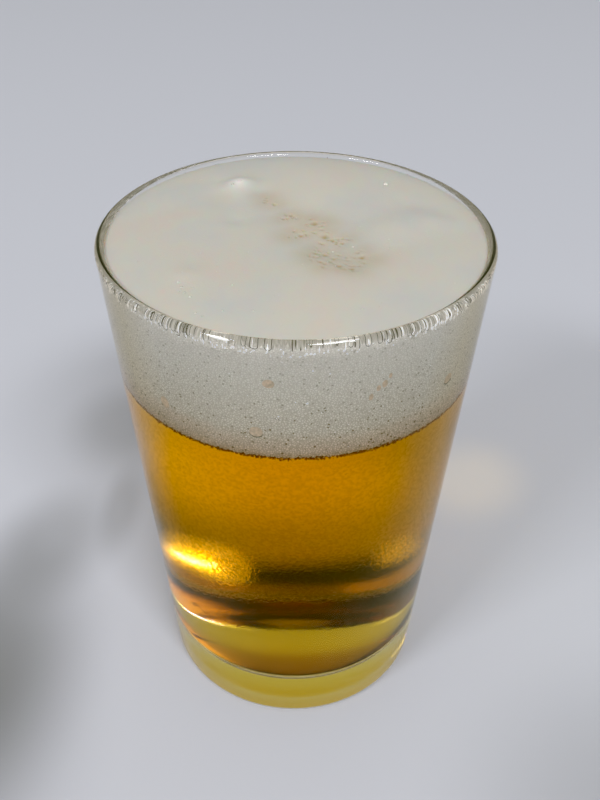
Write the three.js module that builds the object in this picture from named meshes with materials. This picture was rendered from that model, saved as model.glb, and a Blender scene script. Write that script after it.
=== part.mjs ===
// A pint of lager: a plain conical tumbler, the beer in it and the head of foam on top.
// Millimetres, +Z up, with the origin at the centre of the foot.
import * as THREE from 'three';

// The tumbler
const RIM_DIAMETER = 90.6;
const FOOT_DIAMETER = 73.0;
const GLASS_HEIGHT = 134.8;
const WALL_AT_RIM = 2.2;
const WALL_AT_FLOOR = 3.2;
const FLOOR_HEIGHT = 13.6;
const FLOOR_CORNER_RADIUS = 4.5;
const HEEL_RADIUS = 2.0;
const PUNT_RADIUS = 24.0;
const PUNT_DEPTH = 1.0;

// The drink
const BEER_LEVEL = 103.0;
const FOAM_EDGE_BELOW_BRIM = 1.1;
const FOAM_CROWN = 1.9;
const FOAM_CROWN_POWER = 5;
const RELIEF_FADE_POWER = 8;
const CONTACT_GAP = 0.3;

// How finely the round shapes are cut
const SEGMENTS_AROUND = 96;
const LIP_STEPS = 8;
const HEEL_STEPS = 4;
const CORNER_STEPS = 6;
const PUNT_STEPS = 4;
const FOAM_RINGS = 26;

// Lumps on the foam: place across and away from the viewer, radius and height
const FOAM_LUMPS = [
  { x: -14.0, y: 21.5, radius: 4.0, height: 1.5 },
  { x: -23.0, y: -21.0, radius: 3.0, height: 0.5 },
  { x: 6.0, y: 27.0, radius: 12.0, height: 0.8 },
  { x: 24.0, y: 1.0, radius: 7.0, height: 0.6 },
  { x: 31.5, y: 5.5, radius: 5.0, height: 0.5 },
  { x: 3.0, y: -24.0, radius: 13.0, height: 0.5 },
];

// Hollows in the foam: place, radius and depth
const FOAM_HOLLOWS = [
  { x: -20.0, y: 25.0, radius: 3.6, depth: 0.3 },
  { x: -9.0, y: 18.5, radius: 3.2, depth: 0.4 },
  { x: -13.8, y: 3.4, radius: 2.6, depth: 0.4 },
  { x: 3.5, y: 9.0, radius: 5.5, depth: 0.6 },
  { x: 7.5, y: -8.0, radius: 5.0, depth: 0.7 },
];

// Creases that the sinking foam left: the route of each, its half width and depth
const FOAM_CREASES = [
  { route: [[-38, 4.5], [-31, 9], [-24, 11.5], [-19, 17]], width: 4.5, depth: 0.25 },
  { route: [[-19, 17], [-14, 8.5], [-6, 6], [3, -8.5], [11, -14]], width: 4.5, depth: 0.4 },
  { route: [[11, -14], [20, -9], [29, -4], [38, 0]], width: 5.0, depth: 0.35 },
  { route: [[13, 3], [20, 7], [25, 13], [34, 9.5]], width: 4.0, depth: 0.3 },
];

const LIP_RADIUS = WALL_AT_RIM / 2;
const LIP_CENTRE_HEIGHT = GLASS_HEIGHT - LIP_RADIUS;

const mix = THREE.MathUtils.lerp;

// Radius of the outer wall at a height
function outerRadius(z) {
  return mix(FOOT_DIAMETER / 2, RIM_DIAMETER / 2, z / LIP_CENTRE_HEIGHT);
}

// Radius of the inner wall at a height: the wall thickens from the lip down to the floor
function innerRadius(z) {
  const share = (z - FLOOR_HEIGHT) / (LIP_CENTRE_HEIGHT - FLOOR_HEIGHT);
  return outerRadius(z) - mix(WALL_AT_FLOOR, WALL_AT_RIM, share);
}

// Points of an arc, by centre, radius and angles
function arc(x, y, radius, from, to, steps) {
  const points = [];
  for (let i = 0; i <= steps; i++) {
    const angle = mix(from, to, i / steps);
    points.push(new THREE.Vector2(x + radius * Math.cos(angle), y + radius * Math.sin(angle)));
  }
  return points;
}

// The rounded corner between a level bottom and a leaning wall
function roundedCorner(bottom, radius, wallRadius, steps) {
  const height = bottom + radius;
  const lean = Math.atan(wallRadius(height + 1) - wallRadius(height));
  const x = wallRadius(height) - radius / Math.cos(lean);
  return arc(x, height, radius, -Math.PI / 2, -lean, steps);
}

// Turns a profile of (radius, height) points about the vertical axis
function turned(profile) {
  const geometry = new THREE.LatheGeometry(profile, SEGMENTS_AROUND);
  geometry.rotateX(Math.PI / 2);
  return geometry;
}

function makeGlass() {
  const profile = [];
  for (let i = 0; i < PUNT_STEPS; i++) {
    const share = i / PUNT_STEPS;
    profile.push(new THREE.Vector2(share * PUNT_RADIUS, PUNT_DEPTH * Math.cos(share * Math.PI / 2)));
  }
  profile.push(new THREE.Vector2(PUNT_RADIUS, 0));
  profile.push(...roundedCorner(0, HEEL_RADIUS, outerRadius, HEEL_STEPS));
  const lipMiddle = RIM_DIAMETER / 2 - LIP_RADIUS;
  profile.push(...arc(lipMiddle, LIP_CENTRE_HEIGHT, LIP_RADIUS, 0, Math.PI, LIP_STEPS));
  profile.push(...roundedCorner(FLOOR_HEIGHT, FLOOR_CORNER_RADIUS, innerRadius, CORNER_STEPS).reverse());
  profile.push(new THREE.Vector2(0, FLOOR_HEIGHT));
  return turned(profile);
}

// The drink stays a hair clear of the inner wall
function drinkRadius(z) {
  return innerRadius(z) - CONTACT_GAP;
}

function makeBeer() {
  const bottom = FLOOR_HEIGHT + CONTACT_GAP;
  const corner = FLOOR_CORNER_RADIUS - CONTACT_GAP;
  const profile = [new THREE.Vector2(0, bottom)];
  profile.push(...roundedCorner(bottom, corner, drinkRadius, CORNER_STEPS));
  profile.push(new THREE.Vector2(drinkRadius(BEER_LEVEL), BEER_LEVEL));
  profile.push(new THREE.Vector2(0, BEER_LEVEL));
  return turned(profile);
}

// Bell-shaped falloff of a lump, hollow or crease
function bell(distance, width) {
  return Math.exp(-((distance / width) ** 2));
}

// Shortest distance from a point to a route of straight stretches
function distanceToRoute(x, y, route) {
  const point = new THREE.Vector3(x, y, 0);
  const nearest = new THREE.Vector3();
  const stretch = new THREE.Line3();
  let distance = Infinity;
  for (let i = 1; i < route.length; i++) {
    stretch.start.set(...route[i - 1], 0);
    stretch.end.set(...route[i], 0);
    stretch.closestPointToPoint(point, true, nearest);
    distance = Math.min(distance, nearest.distanceTo(point));
  }
  return distance;
}

// Height of the foam above its edge: a crown that is level until near the wall,
// with lumps, hollows and creases that fade out towards it
function foamRelief(x, y, edgeRadius) {
  const share = Math.min(Math.hypot(x, y) / edgeRadius, 1);
  const edgeFade = 1 - share ** RELIEF_FADE_POWER;
  let height = FOAM_CROWN * (1 - share ** FOAM_CROWN_POWER);
  for (const lump of FOAM_LUMPS) {
    height += lump.height * bell(Math.hypot(x - lump.x, y - lump.y), lump.radius) * edgeFade;
  }
  for (const hollow of FOAM_HOLLOWS) {
    height -= hollow.depth * bell(Math.hypot(x - hollow.x, y - hollow.y), hollow.radius) * edgeFade;
  }
  for (const crease of FOAM_CREASES) {
    height -= crease.depth * bell(distanceToRoute(x, y, crease.route), crease.width) * edgeFade;
  }
  return height;
}

function makeFoam() {
  const bottom = BEER_LEVEL + CONTACT_GAP;
  const edgeHeight = GLASS_HEIGHT - FOAM_EDGE_BELOW_BRIM;
  const edgeRadius = drinkRadius(edgeHeight);
  const profile = [
    new THREE.Vector2(0, bottom),
    new THREE.Vector2(drinkRadius(bottom), bottom),
  ];
  const firstTopPoint = profile.length;
  for (let i = 0; i <= FOAM_RINGS; i++) {
    profile.push(new THREE.Vector2(edgeRadius * (1 - i / FOAM_RINGS), edgeHeight));
  }
  const geometry = turned(profile);
  const position = geometry.getAttribute('position');
  for (let i = 0; i < position.count; i++) {
    if (i % profile.length >= firstTopPoint) {
      const relief = foamRelief(position.getX(i), position.getY(i), edgeRadius);
      position.setZ(i, edgeHeight + relief);
    }
  }
  geometry.computeVertexNormals();
  return geometry;
}

function addPiece(group, name, geometry, settings) {
  const mesh = new THREE.Mesh(geometry, new THREE.MeshStandardMaterial(settings));
  mesh.name = name;
  group.add(mesh);
}

const pint = new THREE.Group();
addPiece(pint, 'glass', makeGlass(), {
  color: 0xd9e2e0,
  roughness: 0.03,
  metalness: 0,
  transparent: true,
  opacity: 0.35,
});
addPiece(pint, 'beer', makeBeer(), { color: 0xc98a12, roughness: 0.1, metalness: 0 });
addPiece(pint, 'foam', makeFoam(), { color: 0xe9e4d6, roughness: 0.7, metalness: 0 });

export default pint;
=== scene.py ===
import math
import random

import bpy
import numpy as np
from mathutils import Matrix, Vector


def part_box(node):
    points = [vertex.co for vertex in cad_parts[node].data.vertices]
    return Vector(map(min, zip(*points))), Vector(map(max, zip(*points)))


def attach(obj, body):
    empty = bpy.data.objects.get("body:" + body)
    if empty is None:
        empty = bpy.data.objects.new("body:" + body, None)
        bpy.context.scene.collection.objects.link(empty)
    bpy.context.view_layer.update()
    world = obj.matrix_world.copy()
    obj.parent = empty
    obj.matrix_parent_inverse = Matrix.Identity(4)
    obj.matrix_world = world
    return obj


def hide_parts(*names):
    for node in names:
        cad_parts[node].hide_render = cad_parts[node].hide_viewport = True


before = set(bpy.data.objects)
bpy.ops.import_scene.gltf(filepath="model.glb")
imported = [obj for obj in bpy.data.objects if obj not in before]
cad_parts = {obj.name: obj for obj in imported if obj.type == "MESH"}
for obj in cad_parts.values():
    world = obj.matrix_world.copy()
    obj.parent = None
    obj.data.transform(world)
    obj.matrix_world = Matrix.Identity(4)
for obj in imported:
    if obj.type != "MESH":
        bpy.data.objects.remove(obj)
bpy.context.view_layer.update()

# Sizes, in metres. The rim, height and levels come from the frame.
MM = 0.001
RIM_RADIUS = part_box("glass")[1].x
GLASS_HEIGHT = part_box("glass")[1].z
BEER_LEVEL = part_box("beer")[1].z
FOOT_RADIUS = 36.5 * MM
WALL_AT_RIM = 2.2 * MM
WALL_AT_FLOOR = 3.2 * MM
FLOOR_HEIGHT = 13.6 * MM
FLOOR_CORNER_RADIUS = 4.5 * MM
HEEL_RADIUS = 2.0 * MM
PUNT_RADIUS = 24.0 * MM
PUNT_DEPTH = 1.0 * MM
LIP_RADIUS = WALL_AT_RIM / 2
LIP_CENTRE_HEIGHT = GLASS_HEIGHT - LIP_RADIUS
REACH_INTO_WALL = 0.06 * MM

# Heights between heel and lip where the wall has a row of points
WALL_ROWS = (40 * MM, 80 * MM, 120 * MM)
BEER_ROWS = (40 * MM, 60 * MM, 80 * MM, 100 * MM)

# The foam's top, as in the frame
FOAM_EDGE_HEIGHT = LIP_CENTRE_HEIGHT
FOAM_CROWN = 1.9 * MM
FOAM_CROWN_POWER = 5
RELIEF_FADE_POWER = 8

# Lumps and hollows of the foam in millimetres: across, away from the viewer, radius, height
FOAM_LUMPS = [
    (-14.0, 21.5, 4.0, 1.38),
    (-23.0, -21.0, 3.0, 0.5),
    (6.0, 27.0, 12.0, 0.8),
    (24.0, 1.0, 7.0, 0.6),
    (31.5, 5.5, 5.0, 0.5),
    (3.0, -24.0, 13.0, 0.5),
    (-20.0, 25.0, 3.6, -0.3),
    (-9.0, 18.5, 3.2, -0.4),
    (-13.8, 3.4, 2.6, -0.4),
    (3.5, 9.0, 5.5, -0.6),
    (7.5, -8.0, 5.0, -0.7),
]

# Creases of the foam in millimetres: route, half width, depth
FOAM_CREASES = [
    ([(-38, 4.5), (-31, 9), (-24, 11.5), (-19, 17)], 4.5, 0.25),
    ([(-19, 17), (-14, 8.5), (-6, 6), (3, -8.5), (11, -14)], 4.5, 0.4),
    ([(11, -14), (20, -9), (29, -4), (38, 0)], 5.0, 0.35),
    ([(13, 3), (20, 7), (25, 13), (34, 9.5)], 4.0, 0.3),
]

# Where larger bubbles have burst on the foam's top, in millimetres: across, away, radius
BURST_BUBBLES = [
    (-7.5, 12.4, 0.4),
    (-1.3, 6.3, 0.6),
    (4.1, 2.0, 1.0),
    (1.0, -3.4, 0.6),
    (6.4, -3.8, 1.0),
    (8.1, -5.2, 0.6),
    (10.2, -6.5, 0.5),
    (4.3, -11.1, 0.6),
    (6.2, -11.5, 0.8),
    (8.1, -13.2, 0.5),
    (5.2, -15.8, 0.5),
    (9.1, -17.1, 0.8),
    (11.8, -18.3, 0.7),
    (14.2, -12.7, 0.9),
]
BURST_DEPTH = 0.35 * MM
SMALL_BURSTS_EACH = 6

# How strongly the tan of a burst bubble shows in it and in the haze round it, and the haze's radius in mm
BURST_SHADE = 0.75
HAZE_SHADE = 0.26
HAZE_RADIUS = 3.6

# The stretched film on top of the first lump, which shines and has a highlight painted on it in a paler
# colour; its radius in millimetres
FILM_RADIUS = 2.5

# Names of the values that tell the foam's material where the burst bubbles are, and where the film and its
# painted highlight are
BURST = "burst"
FILM = "film"

# How finely the pieces are turned, and into how many stretches their curves are split
TURN_STEPS = 256
PUNT_STEPS = 8
HEEL_STEPS = 10
LIP_STEPS = 16
CORNER_STEPS = 20
FOAM_TURN_STEPS = 384
FOAM_SIDE_ROWS = 16
FOAM_TOP_RINGS = 110

# Points nearer than this are one, and heights nearer than this are the same
SAME_POINT = 0.002 * MM
SAME_HEIGHT = 0.001 * MM

# Faces that meet at less than this angle, in degrees, are shaded as one curve
SMOOTH_BELOW = 35

# How deep the dew's shade is: height on the wall as a share of the rim's, and share of the light held back
DEW_GRAIN = [
    (0.0, 0.0),
    (0.2, 0.0),
    (0.3, 0.35),
    (0.45, 0.42),
    (0.55, 0.26),
    (0.74, 0.24),
    (0.78, 0.0),
    (1.0, 0.0),
]

# A narrow band beside each rounded edge, which keeps the smooth shading of the curve off the flats
EDGE_BAND = 0.2 * MM

# How strongly the two bend light
GLASS_IOR = 1.52
BEER_IOR = 1.34

# Real sizes behind the patterns. A speck of dew stands for a clump of droplets too small to draw.
FOAM_BUBBLE = 0.55 * MM
FOAM_BUBBLE_DOME = 0.32 * MM
FOAM_SPECK_SPACING = 1.3 * MM
FOAM_CLOUD = 14 * MM
FROTH_GRAIN = 0.5 * MM
FROTH_DEPTH = 0.04 * MM
FROTH_LIGHT_REACH = 3 * MM
FILM_PATCH = 0.8 * MM
DEW_SPECK = 0.9 * MM
DEW_DEPTH = 0.03 * MM
GLOW_GRAIN = 0.35 * MM


# Small helpers
def deselect_all():
    if bpy.context.object and bpy.context.object.mode != "OBJECT":
        bpy.ops.object.mode_set(mode="OBJECT")
    bpy.ops.object.select_all(action="DESELECT")


def mix(low, high, share):
    return low + (high - low) * share


def linear(hex_colour):
    """An sRGB hex colour as linear values, which is what the shaders work in, and an alpha of 1."""
    shares = [int(hex_colour[i:i + 2], 16) / 255 for i in (1, 3, 5)]
    return tuple(c / 12.92 if c <= 0.04045 else ((c + 0.055) / 1.055) ** 2.4 for c in shares) + (1.0,)


def add_node(tree, kind, inputs=None, **settings):
    """Adds a node. A value in inputs is either a plain value or another node's output, which is linked."""
    made = tree.nodes.new(kind)
    for name, value in settings.items():
        setattr(made, name, value)
    for socket, value in (inputs or {}).items():
        if isinstance(value, bpy.types.NodeSocket):
            tree.links.new(value, made.inputs[socket])
        else:
            made.inputs[socket].default_value = value
    return made


def set_ramp(ramp, stops):
    """Gives a colour ramp its stops: places from 0 to 1, and hex colours."""
    stretch = ramp.color_ramp
    while len(stretch.elements) < len(stops):
        stretch.elements.new(1.0)
    for element, (place, colour) in zip(stretch.elements, stops):
        element.position = place
        element.color = linear(colour)


def set_curve(curve, points):
    """Gives a curve node its points: place and value."""
    line = curve.mapping.curves[0]
    line.points[0].location = points[0]
    line.points[1].location = points[-1]
    for point in points[1:-1]:
        line.points.new(*point)
    curve.mapping.update()


def new_material(name):
    """A material with an empty tree but for its output."""
    material = bpy.data.materials.new(name)
    material.use_nodes = True
    tree = material.node_tree
    tree.nodes.clear()
    output = tree.nodes.new("ShaderNodeOutputMaterial")
    return material, tree, output


def add_surface(tree, output, inputs):
    """Adds the shader of the surface and links it to the output."""
    shader = add_node(tree, "ShaderNodeBsdfPrincipled", inputs)
    tree.links.new(shader.outputs[0], output.inputs["Surface"])


def blend(tree, share, low, high):
    """Mixes two colours: low where the share is 0, and high where it is 1."""
    mixed = add_node(tree, "ShaderNodeMix", {"Factor": share, 6: low, 7: high}, data_type="RGBA")
    return mixed.outputs[2]


def object_place(tree):
    return add_node(tree, "ShaderNodeTexCoord").outputs["Object"]


def height_share(tree, low, high):
    """0 at the low height and 1 at the high one, in metres on the object."""
    place = add_node(tree, "ShaderNodeSeparateXYZ", {"Vector": object_place(tree)})
    share = add_node(tree, "ShaderNodeMapRange", {
        "Value": place.outputs["Z"],
        "From Min": low,
        "From Max": high,
    })
    return share.outputs["Result"]


# Walls of the glass: the radius of each at a height
def outer_radius(z):
    return mix(FOOT_RADIUS, RIM_RADIUS, z / LIP_CENTRE_HEIGHT)


def inner_radius(z):
    share = (z - FLOOR_HEIGHT) / (LIP_CENTRE_HEIGHT - FLOOR_HEIGHT)
    return outer_radius(z) - mix(WALL_AT_FLOOR, WALL_AT_RIM, share)


def drink_radius(z):
    return inner_radius(z) + REACH_INTO_WALL


def arc(x, z, radius, start, end, steps):
    """Points of an arc, its angles in degrees."""
    turns = [math.radians(mix(start, end, i / steps)) for i in range(steps + 1)]
    return [(x + radius * math.cos(a), z + radius * math.sin(a)) for a in turns]


def rounded_corner(bottom, radius, wall_radius, steps):
    """The round corner between a level bottom and a leaning wall."""
    z = bottom + radius
    lean = math.atan((wall_radius(z + MM) - wall_radius(z)) / MM)
    return arc(wall_radius(z) - radius / math.cos(lean), z, radius, -90, -math.degrees(lean), steps)


def turned_piece(name, profile, steps=TURN_STEPS):
    """Draws a line of points out of one point and spins it about the upright axis."""
    deselect_all()
    bpy.ops.mesh.primitive_plane_add(size=MM)
    piece = bpy.context.object
    piece.name = name
    piece.data.name = name
    bpy.ops.object.mode_set(mode="EDIT")
    bpy.ops.mesh.merge(type="CENTER")
    r, z = profile[0]
    bpy.ops.transform.translate(value=(r, 0, z))
    for next_r, next_z in profile[1:]:
        step = (next_r - r, 0, next_z - z)
        bpy.ops.mesh.extrude_vertices_move(TRANSFORM_OT_translate={"value": step})
        r, z = next_r, next_z
    bpy.ops.mesh.select_all(action="SELECT")
    bpy.ops.mesh.spin(steps=steps, angle=2 * math.pi, center=(0, 0, 0), axis=(0, 0, 1))
    bpy.ops.mesh.select_all(action="SELECT")
    bpy.ops.mesh.remove_doubles(threshold=SAME_POINT)
    bpy.ops.mesh.normals_make_consistent(inside=False)
    bpy.ops.object.mode_set(mode="OBJECT")
    bpy.ops.object.shade_smooth_by_angle(angle=math.radians(SMOOTH_BELOW))
    return piece


# The glass
def make_glass():
    """The hollow of the foot, the heel, the outer wall, the lip, the inner wall and the floor."""
    profile = []
    for i in range(PUNT_STEPS):
        share = i / PUNT_STEPS
        profile.append((share * PUNT_RADIUS, PUNT_DEPTH * math.cos(share * math.pi / 2)))
    heel = rounded_corner(0, HEEL_RADIUS, outer_radius, HEEL_STEPS)
    profile += [(PUNT_RADIUS, 0), (PUNT_RADIUS + EDGE_BAND, 0), (heel[0][0] - EDGE_BAND, 0)]
    profile += heel
    for z in (HEEL_RADIUS + EDGE_BAND, *WALL_ROWS, LIP_CENTRE_HEIGHT - EDGE_BAND):
        profile.append((outer_radius(z), z))
    profile += arc(RIM_RADIUS - LIP_RADIUS, LIP_CENTRE_HEIGHT, LIP_RADIUS, 0, 180, LIP_STEPS)
    corner = rounded_corner(FLOOR_HEIGHT, FLOOR_CORNER_RADIUS, inner_radius, CORNER_STEPS)
    for z in (LIP_CENTRE_HEIGHT - EDGE_BAND, *reversed(WALL_ROWS), corner[-1][1] + EDGE_BAND):
        profile.append((inner_radius(z), z))
    profile += reversed(corner)
    profile += [(corner[0][0] - EDGE_BAND, FLOOR_HEIGHT), (0, FLOOR_HEIGHT)]
    return turned_piece("clear_glass_tumbler", profile)


# The beer
def make_beer():
    """It reaches just into the floor, the wall and the foam, so that no air gap shows."""
    bottom = FLOOR_HEIGHT - REACH_INTO_WALL
    profile = [(0, bottom), (10 * MM, bottom), (20 * MM, bottom)]
    corner_radius = FLOOR_CORNER_RADIUS + REACH_INTO_WALL
    profile += rounded_corner(bottom, corner_radius, drink_radius, CORNER_STEPS)
    for z in BEER_ROWS:
        profile.append((drink_radius(z), z))
    top = BEER_LEVEL + REACH_INTO_WALL
    profile.append((drink_radius(top), top))
    profile += [(30 * MM, top), (15 * MM, top), (0, top)]
    return turned_piece("golden_lager", profile)


# The foam
def distance_to_route(x, y, route):
    """Shortest distance from each point to a route of straight stretches."""
    nearest = np.full_like(x, np.inf)
    for (ax, ay), (bx, by) in zip(route, route[1:]):
        dx, dy = bx - ax, by - ay
        share = np.clip(((x - ax) * dx + (y - ay) * dy) / (dx * dx + dy * dy), 0, 1)
        nearest = np.minimum(nearest, np.hypot(x - ax - share * dx, y - ay - share * dy))
    return nearest


def foam_relief(x, y, edge_radius):
    """Height above the foam's edge: a level crown with lumps, hollows and creases. In metres."""
    share = np.minimum(np.hypot(x, y) / edge_radius, 1)
    fade = 1 - share ** RELIEF_FADE_POWER
    x, y = x / MM, y / MM
    height = FOAM_CROWN * (1 - share ** FOAM_CROWN_POWER)
    for across, away, radius, lump in FOAM_LUMPS:
        apart = np.hypot(x - across, y - away)
        height += lump * MM * np.exp(-(apart / radius) ** 2) * fade
    for route, width, depth in FOAM_CREASES:
        apart = distance_to_route(x, y, route)
        height -= depth * MM * np.exp(-(apart / width) ** 2) * fade
    return height


def make_foam():
    """The head. Its top is turned level, then raised and pitted, and told where tan shows and where film
    shines with a painted highlight.
    """
    edge_radius = drink_radius(FOAM_EDGE_HEIGHT)
    profile = [(0, BEER_LEVEL), (20 * MM, BEER_LEVEL), (drink_radius(BEER_LEVEL), BEER_LEVEL)]
    for i in range(1, FOAM_SIDE_ROWS):
        z = mix(BEER_LEVEL, FOAM_EDGE_HEIGHT, i / FOAM_SIDE_ROWS)
        profile.append((drink_radius(z), z))
    for i in range(FOAM_TOP_RINGS + 1):
        profile.append((edge_radius * (1 - i / FOAM_TOP_RINGS), FOAM_EDGE_HEIGHT))
    foam = turned_piece("foam_head", profile, FOAM_TURN_STEPS)
    count = len(foam.data.vertices)
    co = np.zeros(count * 3)
    foam.data.vertices.foreach_get("co", co)
    co = co.reshape(-1, 3)
    on_top = co[:, 2] > FOAM_EDGE_HEIGHT - SAME_HEIGHT
    x, y = co[:, 0] / MM, co[:, 1] / MM
    burst = np.zeros(count)
    haze = np.zeros(count)
    for across, away, radius in spread_bursts():
        apart = np.hypot(x - across, y - away)
        burst = np.maximum(burst, np.exp(-(apart / radius) ** 2))
        haze = np.maximum(haze, HAZE_SHADE * np.exp(-(apart / HAZE_RADIUS) ** 2))
    # The film's value also places the highlight painted on the first lump
    film_across, film_away = FOAM_LUMPS[0][:2]
    film = np.exp(-(np.hypot(x - film_across, y - film_away) / FILM_RADIUS) ** 2)
    co[on_top, 2] += foam_relief(co[on_top, 0], co[on_top, 1], edge_radius) - BURST_DEPTH * burst[on_top]
    foam.data.vertices.foreach_set("co", co.ravel())
    for name, values in ((BURST, np.maximum(BURST_SHADE * burst, haze)), (FILM, film)):
        foam.data.attributes.new(name, "FLOAT", "POINT").data.foreach_set("value", values * on_top)
    foam.data.update()
    return foam


def spread_bursts():
    """The large burst bubbles, each with small ones scattered round it."""
    chance = random.Random(4)
    bursts = []
    for across, away, radius in BURST_BUBBLES:
        bursts.append((across, away, radius))
        for _ in range(SMALL_BURSTS_EACH):
            turn = chance.uniform(0, 2 * math.pi)
            apart = chance.uniform(0.8, 3.0)
            small = chance.uniform(0.18, 0.4)
            bursts.append((across + apart * math.cos(turn), away + apart * math.sin(turn), small))
    return bursts


def foam_height(x, y):
    """Height of the foam's top at one place, in metres."""
    edge_radius = drink_radius(FOAM_EDGE_HEIGHT)
    return FOAM_EDGE_HEIGHT + float(foam_relief(np.array([x]), np.array([y]), edge_radius)[0])


# Small things that sit on the wall and on the foam: how many there are of each drawn at random
FOAM_LINE_BUBBLES = 2700
RANDOM_CELLS = 190
DARK_STROKES = 260
PAINTED_GLINT_STROKES = 420
PAINTED_GLINTS_UNDER_LIP = 260
PAINTED_GLINTS_BELOW = 220
RANDOM_TOP_GLINTS = 60


def scatter(pattern, name, places):
    """Joins copies of a pattern, one at each place, to one piece. The pattern itself goes."""
    copies = []
    for place in places:
        one = bpy.data.objects.new(name, pattern.data.copy())
        one.data.transform(place)
        bpy.context.scene.collection.objects.link(one)
        copies.append(one)
    bpy.data.objects.remove(pattern)
    deselect_all()
    for one in copies:
        one.select_set(True)
    bpy.context.view_layer.objects.active = copies[0]
    bpy.ops.object.join()
    copies[0].name = name
    copies[0].data.name = name
    return copies[0]


def bead_pattern(detail):
    """A round bead of radius 1, flattened where it touches the wall."""
    deselect_all()
    bpy.ops.mesh.primitive_ico_sphere_add(subdivisions=detail, radius=1.0)
    bead = bpy.context.object
    bpy.ops.object.mode_set(mode="EDIT")
    bpy.ops.mesh.select_all(action="SELECT")
    bpy.ops.mesh.bisect(plane_co=(-0.8, 0, 0), plane_no=(-1, 0, 0), clear_outer=True, use_fill=True)
    bpy.ops.object.mode_set(mode="OBJECT")
    bpy.ops.object.shade_smooth()
    return bead


def ring_pattern():
    """The outline of a cell of film, radius 1, that faces along X."""
    deselect_all()
    bpy.ops.mesh.primitive_torus_add(
        major_segments=16, minor_segments=5, major_radius=1.0, minor_radius=0.1,
        rotation=(0, math.radians(90), 0))
    bpy.ops.object.transform_apply(location=False, rotation=True, scale=False)
    ring = bpy.context.object
    bpy.ops.object.mode_set(mode="EDIT")
    bpy.ops.mesh.select_all(action="SELECT")
    bpy.ops.mesh.bisect(plane_co=(0, 0, 0.72), plane_no=(0, 0, 1), clear_outer=True, use_fill=True)
    bpy.ops.object.mode_set(mode="OBJECT")
    bpy.ops.object.shade_smooth()
    return ring


def on_wall(angle, z, depth, width, tallness):
    """The place of a small thing on the side of the drink. The angle is in degrees, the rest in metres."""
    lean = math.atan((RIM_RADIUS - FOOT_RADIUS) / LIP_CENTRE_HEIGHT)
    place = Matrix.Rotation(math.radians(angle), 4, "Z") @ Matrix.Translation((drink_radius(z), 0, z))
    place = place @ Matrix.Rotation(lean, 4, "Y")
    return place @ Matrix.Diagonal((depth, width, tallness, 1))


def foam_line_places():
    """Small bubbles all along the line where foam meets beer. They are clear, and painted dark brown for the
    shade they show.
    """
    chance = random.Random(11)
    places = []
    for _ in range(FOAM_LINE_BUBBLES):
        size = chance.uniform(0.12, 0.26) * MM
        z = BEER_LEVEL + chance.gauss(-0.05, 0.24) * MM
        places.append(on_wall(chance.uniform(0, 360), z, 0.5 * size, size, size))
    return places


# Cells of film under the lip in front, where they are few: angle, height, width, tallness in millimetres
FRONT_CELLS = [
    (-103.2, 133.1, 1.0, 0.9),
    (-100.5, 132.9, 1.6, 1.3),
    (-96.9, 132.9, 1.4, 1.5),
    (-86.2, 133.1, 0.6, 0.5),
    (-79.6, 133.2, 0.8, 0.7),
    (-76.0, 133.0, 0.9, 1.2),
    (-71.4, 132.8, 1.2, 1.6),
    (-68.2, 132.8, 1.0, 1.3),
]


def film_ring_places():
    """The cells in front, and thinner ones at random round the rest of the lip."""
    chance = random.Random(23)
    cells = [cell + (1.0,) for cell in FRONT_CELLS]
    for _ in range(RANDOM_CELLS):
        angle = chance.uniform(-66, 246)
        z = chance.uniform(132.2, 133.3)
        width = chance.uniform(0.4, 1.2)
        tallness = chance.uniform(0.7, 2.0)
        cells.append((angle, z, width, tallness, 0.7))
    places = []
    for angle, z, width, tallness, thickness in cells:
        half_sizes = (0.5 * thickness * MM, 0.5 * width * MM, 0.5 * tallness * MM)
        places.append(on_wall(angle, z * MM, *half_sizes))
    return places


# Dark bars where film hangs from the lip in front: angle and width in millimetres, and their height
FRONT_BARS = [(-101.0, 0.9), (-97.0, 0.9), (-92.6, 1.2), (-89.2, 0.9), (-82.0, 0.5), (-80.2, 0.5)]
BAR_HEIGHT = 133.55 * MM


def front_bar_places():
    places = []
    for angle, width in FRONT_BARS:
        places.append(on_wall(angle, BAR_HEIGHT, 0.08 * MM, 0.5 * width * MM, 0.12 * MM))
    return places


# The front of the lip, in degrees, and the share of strokes that it lacks
FRONT = -90
FRONT_HALF_WIDTH = 23
FRONT_LACKS = 0.75


def film_stroke_places(seed, count, low, high):
    """Short upright strokes of film, close together but in front."""
    chance = random.Random(seed)
    places = []
    while len(places) < count:
        angle = chance.uniform(-180, 180)
        if abs(angle - FRONT) < FRONT_HALF_WIDTH and chance.random() < FRONT_LACKS:
            continue
        z = chance.uniform(low, high) * MM
        width = chance.uniform(0.06, 0.16) * MM
        places.append(on_wall(angle, z, 0.06 * MM, width, chance.uniform(0.25, 0.8) * MM))
    return places


# Painted glints on the foam's side, beads that glow: angle in degrees, height in millimetres
SIDE_PAINTED_GLINTS = [
    (-110.5, 131.4), (-108.0, 131.5), (-106.1, 132.0), (-104.0, 131.3), (-102.8, 131.4),
    (-101.2, 131.4), (-100.6, 131.8), (-97.3, 131.5), (-90.9, 131.1), (-88.6, 131.2),
    (-87.4, 131.4), (-86.4, 131.3), (-85.2, 131.5), (-82.9, 131.6), (-76.5, 131.3),
    (-74.1, 131.2), (-80.8, 126.5), (-85.5, 127.3), (-86.6, 118.9), (-94.9, 114.7),
]


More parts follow.
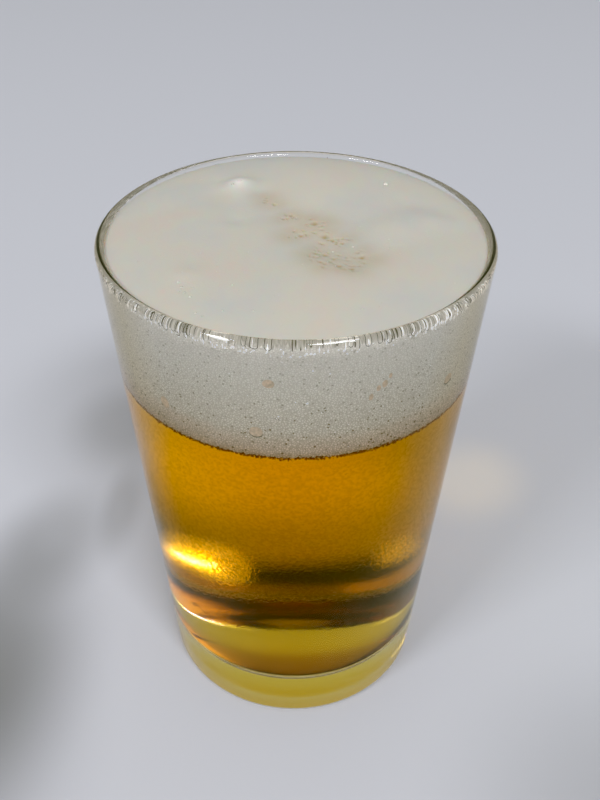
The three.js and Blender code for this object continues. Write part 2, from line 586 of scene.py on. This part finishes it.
def glint_places():
    """Two beads at each painted glint, and finer beads at random: close together under the lip, fewer below.
    """
    chance = random.Random(37)
    places = []
    for angle, z in SIDE_PAINTED_GLINTS:
        for _ in range(2):
            size = chance.uniform(0.12, 0.24) * MM
            shift = chance.uniform(-0.4, 0.4)
            places.append(on_wall(angle + shift, (z + shift) * MM, 0.5 * size, size, size))
    for _ in range(PAINTED_GLINTS_UNDER_LIP):
        size = chance.uniform(0.08, 0.18) * MM
        z = chance.uniform(130.8, 133.0) * MM
        places.append(on_wall(chance.uniform(0, 360), z, 0.5 * size, size, size))
    for _ in range(PAINTED_GLINTS_BELOW):
        size = chance.uniform(0.06, 0.12) * MM
        z = chance.uniform(105.0, 131.0) * MM
        places.append(on_wall(chance.uniform(0, 360), z, 0.5 * size, size, size))
    return places


# Larger bubbles on the foam's side: angle, height, half width, half tallness in millimetres
SIDE_BUBBLES = [
    (-101.0, 110.1, 1.4, 1.5),
    (-97.1, 123.7, 1.2, 1.1),
    (-130.9, 110.5, 1.2, 1.6),
    (-69.0, 118.4, 0.5, 0.9),
    (-67.0, 120.4, 0.5, 0.8),
    (-65.2, 121.2, 0.6, 1.0),
    (-63.8, 123.0, 0.4, 0.7),
    (-40.0, 114.0, 1.3, 1.4),
    (15.0, 119.0, 1.5, 1.5),
    (70.0, 109.0, 1.2, 1.3),
    (120.0, 124.0, 1.6, 1.4),
    (165.0, 112.0, 1.3, 1.5),
]

# From this half width, in millimetres, side bubbles have a dark rim
RIMMED_FROM = 1.25

# Painted highlights of the lamps on the lip, as long ridges of film that glow: first and last angle, height
# in millimetres
PAINTED_HIGHLIGHT_RIDGES = [
    (-112.2, -107.4, 132.85),
    (-84.0, -74.3, 133.0),
]
BEADS_IN_RIDGE = 14


def ridge_places():
    """Overlapping flat beads that make up each painted highlight."""
    places = []
    for first, last, z in PAINTED_HIGHLIGHT_RIDGES:
        for i in range(BEADS_IN_RIDGE + 1):
            share = i / BEADS_IN_RIDGE
            thick = 0.02 + 0.04 * math.sin(math.pi * i / BEADS_IN_RIDGE)
            places.append(on_wall(mix(first, last, share), z * MM, 0.05 * MM, 0.5 * MM, thick * MM))
    return places


def side_bubble_places():
    """Flat beads that stand out of the foam's side by a few hundredths of a millimetre."""
    return [on_wall(a, z * MM, 0.07 * MM, w * MM, h * MM) for a, z, w, h in SIDE_BUBBLES]


def side_ring_places():
    """A dark rim below each larger bubble: its upper part is sunk in the foam."""
    places = []
    for a, z, w, h in SIDE_BUBBLES:
        if w > RIMMED_FROM:
            sunk = Matrix.Translation((-0.25, 0, 0)) @ Matrix.Rotation(math.radians(-20), 4, "Y")
            places.append(on_wall(a, (z - 0.05) * MM, 0.4 * MM, w * MM, h * MM) @ sunk)
    return places


# How far out the glints on the foam's top reach, in millimetres, and the share of its radius each is sunk
TOP_GLINTS_REACH = 40
TOP_GLINT_SUNK = 0.35

# Glints on the foam's top, in millimetres: across, away, radius
TOP_GLINTS = [
    (-15.6, 20.4, 0.5),
    (22.0, 23.4, 0.7),
    (-24.3, -23.8, 0.3),
    (-23.4, -25.6, 0.35),
    (-22.6, -27.4, 0.3),
    (-21.4, -29.0, 0.3),
    (-23.8, -27.0, 0.2),
    (-21.0, -26.0, 0.2),
    (-19.8, -34.3, 0.3),
    (-18.3, -35.4, 0.25),
    (-14.5, -33.9, 0.25),
    (-8.4, -34.2, 0.25),
    (-13.1, -25.2, 0.25),
    (13.1, -33.1, 0.25),
    (20.3, -9.1, 0.25),
    (12.4, -8.3, 0.3),
    (8.0, -9.7, 0.25),
]


def top_glint_places():
    """The glints above, and very small ones at random all over the top."""
    chance = random.Random(51)
    spots = list(TOP_GLINTS)
    for _ in range(RANDOM_TOP_GLINTS):
        turn = chance.uniform(0, 2 * math.pi)
        apart = TOP_GLINTS_REACH * math.sqrt(chance.random())
        spots.append((apart * math.cos(turn), apart * math.sin(turn), chance.uniform(0.08, 0.16)))
    places = []
    for across, away, radius in spots:
        z = foam_height(across * MM, away * MM) - TOP_GLINT_SUNK * radius * MM
        place = Matrix.Translation((across * MM, away * MM, z)) @ Matrix.Diagonal((*[radius * MM] * 3, 1))
        flat_side_down = Matrix.Rotation(math.radians(-90), 4, "Y")
        places.append(place @ flat_side_down)
    return places


# Materials. What is clear is smooth, and lets all light through but what its colour holds back.
WHITE = "#FFFFFF"
CLEAR = {"Base Color": linear(WHITE), "Roughness": 0.0, "Transmission Weight": 1.0}

# Tints of the glass from face on to edge on
WALL_EDGE_ON = [(0.5, WHITE), (0.7, "#F2E4C4"), (0.9, "#DEC99C")]
LIP_EDGE_ON = [(0.3, "#F6F3EC"), (0.6, "#EBDCC2"), (0.9, "#D9BE92")]

# Where the dew lies: how far behind the middle it ends, and the heights between which it begins
DEW_BEHIND_MIDDLE = 5 * MM
DEW_BEGINS = 20 * MM
DEW_FULL_FROM = 45 * MM


def clear_glass():
    """The foot and all else of the glass that has no other finish."""
    material, tree, output = new_material("clear soda-lime glass, fire polished")
    add_surface(tree, output, {**CLEAR, "IOR": GLASS_IOR})
    return material


def edge_on_tint(tree, stops):
    """A colour that changes from the first stop, seen face on, to the last, seen edge on."""
    edge_on = add_node(tree, "ShaderNodeLayerWeight", {"Blend": 0.5})
    tint = add_node(tree, "ShaderNodeValToRGB", {"Fac": edge_on.outputs["Facing"]})
    set_ramp(tint, stops)
    return tint.outputs[0]


def dewed_glass():
    """The outside of the wall: the cold beer behind it draws a fine dew, in clumps of about a millimetre.

    The dew is on the near side. Each clump bends the light and holds a little of it back. Seen edge on,
    the wall is brownish, as all the light there has gone a long way through glass.
    """
    material, tree, output = new_material("clear soda-lime glass, dewed outside")
    specks = add_node(tree, "ShaderNodeTexNoise", {
        "Vector": object_place(tree),
        "Scale": 1 / DEW_SPECK,
        "Detail": 2.0,
        "Roughness": 0.6,
    })
    near = add_node(tree, "ShaderNodeMapRange", {
        "Value": add_node(tree, "ShaderNodeSeparateXYZ", {"Vector": object_place(tree)}).outputs["Y"],
        "From Min": DEW_BEHIND_MIDDLE,
        "From Max": -DEW_BEHIND_MIDDLE,
    })
    strength = add_node(tree, "ShaderNodeMath", {
        0: near.outputs[0],
        1: height_share(tree, DEW_BEGINS, DEW_FULL_FROM),
    }, operation="MULTIPLY")
    dew = add_node(tree, "ShaderNodeBump", {
        "Strength": strength.outputs[0],
        "Distance": DEW_DEPTH,
        "Height": specks.outputs["Fac"],
    })
    depth = add_node(tree, "ShaderNodeFloatCurve", {
        "Factor": 1.0,
        "Value": height_share(tree, 0, GLASS_HEIGHT),
    })
    set_curve(depth, DEW_GRAIN)
    near_depth = add_node(tree, "ShaderNodeMath", {
        0: depth.outputs[0],
        1: near.outputs[0],
    }, operation="MULTIPLY")
    dark = add_node(tree, "ShaderNodeMapRange", {
        "Value": specks.outputs["Fac"],
        "From Min": 0.4,
        "From Max": 0.6,
        "To Min": 0.0,
        "To Max": near_depth.outputs[0],
    })
    light = add_node(tree, "ShaderNodeMath", {0: 1.0, 1: dark.outputs[0]}, operation="SUBTRACT")
    grained = add_node(tree, "ShaderNodeVectorMath", {
        0: edge_on_tint(tree, WALL_EDGE_ON),
        1: light.outputs[0],
    }, operation="MULTIPLY")
    add_surface(tree, output, {
        **CLEAR,
        "Base Color": grained.outputs[0],
        "IOR": GLASS_IOR,
        "Specular Tint": (0.1, 0.1, 0.1, 1),
        "Normal": dew.outputs["Normal"],
    })
    return material


def wetted_glass():
    """The glass where the drink touches it: light bends from glass into beer there, and mirrors little."""
    material, tree, output = new_material("clear soda-lime glass, wetted")
    add_surface(tree, output, {**CLEAR, "IOR": GLASS_IOR / BEER_IOR})
    return material


def fire_polished_lip():
    """The lip, melted round. Its thick curve shows the brown of the iron in the glass."""
    material, tree, output = new_material("clear soda-lime glass, lip")
    add_surface(tree, output, {
        **CLEAR,
        "Base Color": edge_on_tint(tree, LIP_EDGE_ON),
        "IOR": GLASS_IOR,
    })
    return material


# The lager's colour, and how strongly it colours the light on each metre of its way
LAGER_COLOUR = "#FBEB38"
LAGER_DENSITY = 75.0


def lager():
    """Clear golden beer. Its depth makes the colour, and the wetted glass does all the bending of light."""
    material, tree, output = new_material("lager, filtered, golden")
    add_surface(tree, output, {**CLEAR, "IOR": 1.0})
    absorption = add_node(tree, "ShaderNodeVolumeAbsorption", {
        "Color": linear(LAGER_COLOUR),
        "Density": LAGER_DENSITY,
    })
    tree.links.new(absorption.outputs[0], output.inputs["Volume"])
    return material


def beer_foam():
    """The open top of the head: fine settled froth, matt and creamy, that light soaks into.

    Where larger bubbles have burst, it is tan and pitted. The film over the first lump shines, and a
    highlight is painted on it in a paler colour.
    """
    material, tree, output = new_material("beer foam, settled and creamy")
    place = object_place(tree)
    clouds = add_node(tree, "ShaderNodeTexNoise", {
        "Vector": place,
        "Scale": 1 / FOAM_CLOUD,
        "Detail": 2.0,
        "Roughness": 0.5,
    })
    tint = add_node(tree, "ShaderNodeValToRGB", {"Fac": clouds.outputs["Fac"]})
    set_ramp(tint, [(0.3, "#C6C6C0"), (0.45, "#CAC8BF"), (0.55, "#CCC9BD"), (0.7, "#CEC7BC")])
    burst = add_node(tree, "ShaderNodeAttribute", attribute_name=BURST).outputs["Fac"]
    colour = blend(tree, burst, tint.outputs[0], linear("#A98B58"))
    film = add_node(tree, "ShaderNodeAttribute", attribute_name=FILM).outputs["Fac"]
    # Painted highlight: the film on the first lump is painted paler where the lamps would shine on it
    painted_highlight = add_node(tree, "ShaderNodeMapRange", {"Value": film, "To Max": 0.8})
    colour = blend(tree, painted_highlight.outputs[0], colour, linear("#EFEDE6"))
    gloss = add_node(tree, "ShaderNodeMapRange", {"Value": film, "To Min": 0.55, "To Max": 0.25})
    froth = add_node(tree, "ShaderNodeTexNoise", {
        "Vector": place,
        "Scale": 1 / FROTH_GRAIN,
        "Detail": 2.0,
    })
    grain = add_node(tree, "ShaderNodeBump", {
        "Strength": 0.5,
        "Distance": FROTH_DEPTH,
        "Height": froth.outputs["Fac"],
    })
    add_surface(tree, output, {
        "Base Color": colour,
        "Roughness": gloss.outputs[0],
        "Subsurface Weight": 0.6,
        "Subsurface Scale": FROTH_LIGHT_REACH,
        "Normal": grain.outputs["Normal"],
    })
    return material


def bubble_film(name, colour, roughness, glow):
    """Thin wet film of a bubble, lighter and darker from place to place. What glows is a painted glint,
    where a lamp would shine on the film.
    """
    material, tree, output = new_material(name)
    tone = add_node(tree, "ShaderNodeTexNoise", {
        "Vector": object_place(tree),
        "Scale": 1 / FILM_PATCH,
    })
    shade = add_node(tree, "ShaderNodeMapRange", {
        "Value": tone.outputs["Fac"],
        "To Min": 0.5,
        "To Max": 1.4,
    })
    tinted = add_node(tree, "ShaderNodeVectorMath", {
        0: linear(colour)[:3],
        1: shade.outputs[0],
    }, operation="MULTIPLY")
    add_surface(tree, output, {
        "Base Color": tinted.outputs[0],
        "Roughness": roughness,
        "Emission Color": linear(colour),
        "Emission Strength": glow,
    })
    return material


# Painted shade: the foam's underside is darker from the first of these radii outwards, and darkest at the
# second
PAINTED_SHADE_FROM = 31 * MM
PAINTED_SHADE_TO = 40.5 * MM

# Painted light on the foam's underside: paler places that glow, where the beer would gather light from the
# lamps, in millimetres:
# across, away, radius, how pale, radiance
PAINTED_LIGHT_UNDERSIDE = [
    (40, 3, 34, 0.85, 2.3),
    (-38, 0, 16, 0.12, 1.5),
]


def soaked_foam_painted_light_and_shade():
    """The underside of the head, soaked with beer. Painted shade darkens it towards the wall, and painted
    light makes its pale places glow. The beer mirrors it, mostly from near the wall.
    """
    material, tree, output = new_material("beer foam, soaked, painted light and shade")
    from_foot = add_node(tree, "ShaderNodeVectorMath", {0: object_place(tree)}, operation="LENGTH")
    painted_shade_share = add_node(tree, "ShaderNodeMapRange", {
        "Value": from_foot.outputs["Value"],
        "From Min": math.hypot(PAINTED_SHADE_FROM, BEER_LEVEL),
        "From Max": math.hypot(PAINTED_SHADE_TO, BEER_LEVEL),
    })
    tint = add_node(tree, "ShaderNodeValToRGB", {"Fac": painted_shade_share.outputs[0]})
    set_ramp(tint, [(0.0, "#4A4238"), (0.4, "#5C5244"), (1.0, "#1C1612")])
    colour = tint.outputs[0]
    lit = 0.0
    # Each pale place is painted light: a paler colour and a glow
    for across, away, radius, share, glow in PAINTED_LIGHT_UNDERSIDE:
        apart = add_node(tree, "ShaderNodeVectorMath", {
            0: object_place(tree),
            1: (across * MM, away * MM, BEER_LEVEL),
        }, operation="DISTANCE")
        pale = add_node(tree, "ShaderNodeMapRange", {
            "Value": apart.outputs["Value"],
            "From Min": radius * MM,
            "From Max": 0.2 * radius * MM,
            "To Min": 0.0,
            "To Max": share,
        }, interpolation_type="SMOOTHSTEP")
        colour = blend(tree, pale.outputs[0], colour, linear("#DCD6BE"))
        lit = add_node(tree, "ShaderNodeMath", {
            0: pale.outputs[0],
            1: glow,
            2: lit,
        }, operation="MULTIPLY_ADD").outputs[0]
    add_surface(tree, output, {
        "Base Color": colour,
        "Roughness": 0.5,
        "Emission Color": linear("#D8FF80"),
        "Emission Strength": lit,
    })
    material.cycles.emission_sampling = "NONE"
    return material


# How far above the beer the bubbles of the foam's side are darker than further up
DARKER_SIDE = 26 * MM

# Colours of the foam's side and of the walls of its bubbles, from the beer to the lip. The walls' colour is
# partly the beer in them and partly painted shade between the bubbles' domes
SIDE_TINT = [
    (0.0, "#DDBFA3"),
    (0.06, "#EFDCC8"),
    (0.25, "#FAF5E6"),
    (0.7, "#FCF9EE"),
    (1.0, "#FDF9F0"),
]
SIDE_WALL_AND_SHADE_TINT = [(0.0, "#6A4428"), (0.25, "#85725A"), (1.0, "#9A9484")]


def wet_foam():
    """The side of the head, pressed on the glass: fine bubbles with darker walls, and dark specks.

    The lower it is, the more beer it holds, so the browner it is and the more its bubbles stand out. The
    walls are darker partly for that beer and partly as painted shade between the domes.
    """
    material, tree, output = new_material("beer foam, wet, against glass")
    place = object_place(tree)
    walls = add_node(tree, "ShaderNodeTexVoronoi", {
        "Vector": place,
        "Scale": 1 / FOAM_BUBBLE,
    }, feature="DISTANCE_TO_EDGE")
    # Darker bubble walls: partly beer in them, partly painted shade between the domes
    wall_and_painted_shade = add_node(tree, "ShaderNodeMapRange", {
        "Value": walls.outputs["Distance"],
        "From Min": 0.0,
        "From Max": 0.25,
        "To Min": 0.6,
        "To Max": 0.0,
    })
    specks = add_node(tree, "ShaderNodeTexVoronoi", {
        "Vector": place,
        "Scale": 1 / FOAM_SPECK_SPACING,
    }, feature="F1")
    in_speck = add_node(tree, "ShaderNodeMapRange", {
        "Value": specks.outputs["Distance"],
        "From Min": 0.10,
        "From Max": 0.24,
        "To Min": 0.75,
        "To Max": 0.0,
    })
    amount = add_node(tree, "ShaderNodeMapRange", {
        "Value": height_share(tree, BEER_LEVEL + DARKER_SIDE, BEER_LEVEL),
        "To Min": 0.45,
        "To Max": 1.0,
    })
    dark = add_node(tree, "ShaderNodeMath", {0: wall_and_painted_shade.outputs[0], 1: in_speck.outputs[0]}, operation="ADD")
    dark = add_node(tree, "ShaderNodeMath", {0: dark.outputs[0], 1: amount.outputs[0]}, operation="MULTIPLY")
    height = height_share(tree, BEER_LEVEL, FOAM_EDGE_HEIGHT)
    tint = add_node(tree, "ShaderNodeValToRGB", {"Fac": height})
    set_ramp(tint, SIDE_TINT)
    wall_and_shade_tint = add_node(tree, "ShaderNodeValToRGB", {"Fac": height})
    set_ramp(wall_and_shade_tint, SIDE_WALL_AND_SHADE_TINT)
    domes = add_node(tree, "ShaderNodeBump", {
        "Strength": 1.0,
        "Distance": FOAM_BUBBLE_DOME,
        "Height": walls.outputs["Distance"],
    })
    add_surface(tree, output, {
        "Base Color": blend(tree, dark.outputs[0], tint.outputs[0], wall_and_shade_tint.outputs[0]),
        "Roughness": 0.35,
        "Normal": domes.outputs["Normal"],
    })
    return material


# Light that the beer gathers and throws on the table, in millimetres and degrees:
# across, away, half width, half depth, turn, radiance of the middle in red, green and blue
THROWN_LIGHT = [
    (0, 0, 40, 40, 0, (0.36, 0.30, 0.15)),
    (-23, -12, 8, 10, 0, (0.38, 0.33, 0.10)),
    (23, -12, 7, 9, 0, (0.20, 0.18, 0.08)),
    (12, 100, 40, 34, 0, (0.24, 0.22, 0.14)),
    (66, 61, 26, 30, -45, (0.10, 0.07, 0.02)),
]

# Where no light gets to the table: across, away, half width, half depth, turn, share of the light kept away
SHADED_TABLE = [
    (0, 0, 38, 38, 0, 0.5),
    (4, 47.3, 25, 16, 0, 0.98),
    (4, 39.5, 20, 6, 0, 0.5),
    (9, 39, 10, 5, 0, 0.7),
    (-120, -50, 75, 80, 0, 0.5),
    (-95, -20, 44, 66, 0, 0.42),
    (-84, 28, 26, 34, 0, 0.3),
    (-68, 92, 30, 34, 0, 0.22),
    (-62, 45, 10, 30, 0, 0.2),
    (100, -75, 75, 70, 0, 0.25),
]


def patch_on_table(tree, place, across, away, half_width, half_depth, turn):
    """1 in the middle of a round or oval patch, and 0 from its edge outwards."""
    centred = add_node(tree, "ShaderNodeMapping", {
        "Vector": place,
        "Location": (across * MM, away * MM, 0),
        "Rotation": (0, 0, math.radians(turn)),
        "Scale": (half_width * MM, half_depth * MM, 1),
    }, vector_type="TEXTURE")
    fall = add_node(tree, "ShaderNodeTexGradient", {"Vector": centred.outputs[0]}, gradient_type="SPHERICAL")
    soft = add_node(tree, "ShaderNodeMapRange", {
        "Value": fall.outputs["Fac"],
        "From Max": 0.8,
    }, interpolation_type="SMOOTHSTEP")
    return soft.outputs[0]


def table_top():
    """A matt pale table, with the light and shade that the glass and things out of sight throw on it."""
    material, tree, output = new_material("matt pale table top")
    place = object_place(tree)
    colour = linear("#D3D6DE")[:3]
    for *patch, kept_away in SHADED_TABLE:
        lit = add_node(tree, "ShaderNodeMapRange", {
            "Value": patch_on_table(tree, place, *patch),
            "To Min": 1.0,
            "To Max": 1.0 - kept_away,
        })
        colour = add_node(tree, "ShaderNodeVectorMath", {
            0: colour,
            1: lit.outputs[0],
        }, operation="MULTIPLY").outputs[0]
    glow = (0, 0, 0)
    for *patch, radiance in THROWN_LIGHT:
        glow = add_node(tree, "ShaderNodeVectorMath", {
            0: patch_on_table(tree, place, *patch),
            1: radiance,
            2: glow,
        }, operation="MULTIPLY_ADD").outputs[0]
    add_surface(tree, output, {
        "Base Color": colour,
        "Roughness": 0.6,
        "Emission Color": glow,
        "Emission Strength": 1.0,
    })
    material.cycles.emission_sampling = "NONE"
    return material


def dress(piece, material, node):
    """Gives a piece its first material and its place in the frame. Node is the one it replaces, or None."""
    piece.data.materials.clear()
    piece.data.materials.append(material)
    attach(piece, "root")
    if node:
        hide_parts(node)


# The camera, as fitted to the photograph: its place in metres, turns in degrees, lens in millimetres
CAMERA_BACK = 184.2 * MM
CAMERA_HEIGHT = 231.3 * MM
CAMERA_PITCH = 38.35
CAMERA_YAW = 0.39
CAMERA_ROLL = 0.66
CAMERA_LENS = 40.5


def make_camera():
    """The camera looks over the rim from in front, a little askew."""
    data = bpy.data.cameras.new("camera")
    data.lens = CAMERA_LENS
    data.clip_start = 10 * MM
    data.dof.use_dof = False
    camera = bpy.data.objects.new("camera", data)
    bpy.context.scene.collection.objects.link(camera)
    turn = Matrix.Rotation(math.radians(-CAMERA_YAW), 4, "Z")
    turn = turn @ Matrix.Rotation(math.radians(90 - CAMERA_PITCH), 4, "X")
    turn = turn @ Matrix.Rotation(math.radians(CAMERA_ROLL), 4, "Z")
    camera.matrix_world = Matrix.Translation((0, -CAMERA_BACK, CAMERA_HEIGHT)) @ turn
    bpy.context.scene.camera = camera


def direction(azimuth, elevation):
    """The way to a lamp. Azimuth 0 is to the right and 90 is away from the viewer."""
    a, e = math.radians(azimuth), math.radians(elevation)
    return Vector((math.cos(a) * math.cos(e), math.sin(a) * math.cos(e), math.sin(e)))


# Two soft lamps, one on each side of the viewer: name, azimuth, elevation, width, tallness, power,
# in degrees, metres and watts
LAMPS = [
    ("lamp_right", -67, 48, 1.3, 0.5, 57),
    ("lamp_left", -136, 40, 1.0, 0.4, 37),
]
LAMP_DISTANCE = 3.6


def add_lamp(name, azimuth, elevation, width, tallness, power):
    """A soft lamp that faces the glass. It isn't seen through the glass itself."""
    data = bpy.data.lights.new(name, "AREA")
    data.shape = "RECTANGLE"
    data.size = width
    data.size_y = tallness
    data.energy = power
    lamp = bpy.data.objects.new(name, data)
    lamp.visible_transmission = False
    bpy.context.scene.collection.objects.link(lamp)
    place = direction(azimuth, elevation) * LAMP_DISTANCE
    lamp.matrix_world = Matrix.Translation(place) @ place.to_track_quat("Z", "Y").to_matrix().to_4x4()


# The room's light by the sine of its height in the sky: pale walls and a darker, warmer ceiling
ROOM_LIGHT = [
    (0.0, "#D5DADF"),
    (0.77, "#D5DADF"),
    (0.83, "#C9C7C7"),
    (0.866, "#B7AA9D"),
    (0.906, "#AA9886"),
    (0.94, "#AA937B"),
]
ROOM_STRENGTH = 0.65

# The dew on the far side of the glass glows where the beer gathers the lamps' light, in millimetres:
# across, height, width, tallness, radiance, colour. The hottest is so blue because the beer lets
# hardly any blue through, and it should leave the beer nearly white.
DEW_GLOWS = [
    (-9.9, 14.4, 0.6, 1.6, 2200.0, "#1C28FF"),
    (-9.8, 15.2, 1.2, 6.0, 6.0, WHITE),
    (-9.2, 15.0, 3.4, 10.0, 0.9, WHITE),
    (-8.2, 14.8, 6.0, 15.0, 0.6, WHITE),
    (10.6, 19.5, 1.8, 11.0, 0.7, WHITE),
]

# How far behind the wall the glows are, and how they are turned up to it
GLOW_GAP = 1 * MM
GLOW_PITCH = -135


def add_dew_glow(number, across, height, width, tallness, radiance, colour):
    """A small lamp behind the glass that shows only through it, as a photographer's card would.

    The clumps of dew break its light up.
    """
    data = bpy.data.lights.new("dew_glow_%d" % number, "AREA")
    data.shape = "ELLIPSE"
    data.size = width * MM
    data.size_y = tallness * MM
    data.energy = radiance * math.pi * math.pi / 4 * data.size * data.size_y
    data.color = linear(colour)[:3]
    data.use_nodes = True
    tree = data.node_tree
    place = add_node(tree, "ShaderNodeNewGeometry").outputs["Position"]
    grain = add_node(tree, "ShaderNodeTexNoise", {
        "Vector": place,
        "Scale": 1 / GLOW_GRAIN,
        "Detail": 1.0,
    })
    strength = add_node(tree, "ShaderNodeMapRange", {
        "Value": grain.outputs["Fac"],
        "From Min": 0.42,
        "From Max": 0.62,
        "To Min": 0.15,
        "To Max": 1.85,
    })
    tree.links.new(strength.outputs[0], tree.nodes["Emission"].inputs["Strength"])
    lamp = bpy.data.objects.new(data.name, data)
    lamp.visible_camera = False
    lamp.visible_diffuse = False
    lamp.visible_glossy = False
    bpy.context.scene.collection.objects.link(lamp)
    out = outer_radius(height * MM) + GLOW_GAP
    place = Vector((across * MM, math.sqrt(out ** 2 - (across * MM) ** 2), height * MM))
    lamp.matrix_world = Matrix.Translation(place) @ Matrix.Rotation(math.radians(GLOW_PITCH), 4, "X")


# A real table touches the foot in a few points only, so the base mirrors as over air
TABLE_GAP = 0.05 * MM
TABLE_SIZE = 6.0


def make_room():
    """The table, the lamps and the room's light. None of it is part of the object."""
    deselect_all()
    bpy.ops.mesh.primitive_plane_add(size=TABLE_SIZE, location=(0, 0, -TABLE_GAP))
    table = bpy.context.object
    table.name = "table"
    table.data.materials.append(table_top())
    for lamp in LAMPS:
        add_lamp(*lamp)
    for number, glow in enumerate(DEW_GLOWS, 1):
        add_dew_glow(number, *glow)
    world = bpy.data.worlds.new("room")
    bpy.context.scene.world = world
    world.use_nodes = True
    tree = world.node_tree
    way = add_node(tree, "ShaderNodeTexCoord").outputs["Generated"]
    upward = add_node(tree, "ShaderNodeSeparateXYZ", {"Vector": way}).outputs["Z"]
    sky = add_node(tree, "ShaderNodeValToRGB", {"Fac": upward})
    set_ramp(sky, ROOM_LIGHT)
    background = tree.nodes["Background"]
    background.inputs["Strength"].default_value = ROOM_STRENGTH
    tree.links.new(sky.outputs[0], background.inputs["Color"])


# The darkest tones of the picture are deepened, and its weak blues most, as in the photograph
VIEW_BLACK = (0.010, 0.012, 0.030)
WEAK_BLUES = [(0.06, 0.045), (0.15, 0.137), (0.28, 0.28)]


def set_view():
    """How the light becomes a picture, and how often it bends in the glass on its way."""
    scene = bpy.context.scene
    scene.view_settings.view_transform = "Standard"
    scene.view_settings.use_curve_mapping = True
    curves = scene.view_settings.curve_mapping
    curves.black_level = VIEW_BLACK
    for shade in WEAK_BLUES:
        curves.curves[2].points.new(*shade)
    curves.update()
    scene.cycles.max_bounces = 20
    scene.cycles.transmission_bounces = 20
    scene.cycles.transparent_max_bounces = 16


# The middle of a face is no farther from its own wall than this, though faces cut the curve short
NEAR_WALL = 0.3 * MM
NEAR_FLOOR = 0.1 * MM

# Places of the finishes among a piece's materials. The first is for all the other faces.
WETTED, DEWED, LIP = 1, 2, 3
SIDE, UNDERSIDE = 1, 2


def add_glass():
    """The glass, with the finish of each of its faces."""
    glass = make_glass()
    dress(glass, clear_glass(), "glass")
    glass.data.materials.append(wetted_glass())
    glass.data.materials.append(dewed_glass())
    glass.data.materials.append(fire_polished_lip())
    for face in glass.data.polygons:
        z = face.center.z
        out = math.hypot(face.center.x, face.center.y)
        if z > LIP_CENTRE_HEIGHT:
            face.material_index = LIP
        elif out < inner_radius(z) + NEAR_WALL and z > FLOOR_HEIGHT - NEAR_FLOOR:
            face.material_index = WETTED
        elif out > outer_radius(z) - NEAR_WALL and z > HEEL_RADIUS:
            face.material_index = DEWED


def add_foam():
    """The foam, with the finish of each of its faces."""
    foam = make_foam()
    dress(foam, beer_foam(), "foam")
    foam.data.materials.append(wet_foam())
    foam.data.materials.append(soaked_foam_painted_light_and_shade())
    for face in foam.data.polygons:
        if face.center.z < BEER_LEVEL + SAME_HEIGHT:
            face.material_index = UNDERSIDE
        elif face.center.z < FOAM_EDGE_HEIGHT:
            face.material_index = SIDE


def add_small_things(name, pattern, places, material):
    """Bubbles, film and glints, which all belong to the foam."""
    dress(scatter(pattern, name, places), material, None)


def add_bubbles_and_film():
    """What is on the foam's side and top, from the beer line to the glints."""
    # The beer line's bubbles are painted dark for the shade they show
    line_bubble_film_painted_dark = bubble_film("bubbles at the beer line, painted dark", "#7E3C12", 0.25, 0.0)
    dark_film = bubble_film("bubble film, dark edge", "#85827A", 0.2, 0.0)
    # Painted glints: this film glows where the lamps would shine on it
    painted_glint_film = bubble_film("bubble film, painted glint", WHITE, 0.1, 0.45)
    tan_film = bubble_film("bubble film, tan with beer", "#E6D3BC", 0.35, 0.0)
    taut_film = bubble_film("bubble film, clear and taut", "#DAD6CC", 0.06, 0.0)
    dark_strokes = film_stroke_places(61, DARK_STROKES, 132.4, 133.4)
    # The bright strokes are painted glints on the film under the lip
    painted_glint_strokes = film_stroke_places(67, PAINTED_GLINT_STROKES, 131.5, 133.1)
    add_small_things("foam_line_bubbles", bead_pattern(1), foam_line_places(), line_bubble_film_painted_dark)
    add_small_things("film_cells_under_lip", ring_pattern(), film_ring_places(), dark_film)
    add_small_things("film_strokes_dark", bead_pattern(1), dark_strokes, dark_film)
    add_small_things("film_strokes_painted_glint", bead_pattern(1), painted_glint_strokes, painted_glint_film)
    add_small_things("film_bars_dark", bead_pattern(2), front_bar_places(), dark_film)
    add_small_things("side_painted_glints", bead_pattern(1), glint_places(), painted_glint_film)
    # The ridges are painted highlights of the lamps on the lip
    add_small_things("film_ridges_painted_highlight", bead_pattern(2), ridge_places(), painted_glint_film)
    add_small_things("side_bubbles", bead_pattern(3), side_bubble_places(), tan_film)
    add_small_things("side_bubble_rims", ring_pattern(), side_ring_places(), dark_film)
    add_small_things("foam_top_glints", bead_pattern(2), top_glint_places(), taut_film)


# The whole scene
set_view()
make_camera()
make_room()
add_glass()
dress(make_beer(), lager(), "beer")
add_foam()
add_bubbles_and_film()
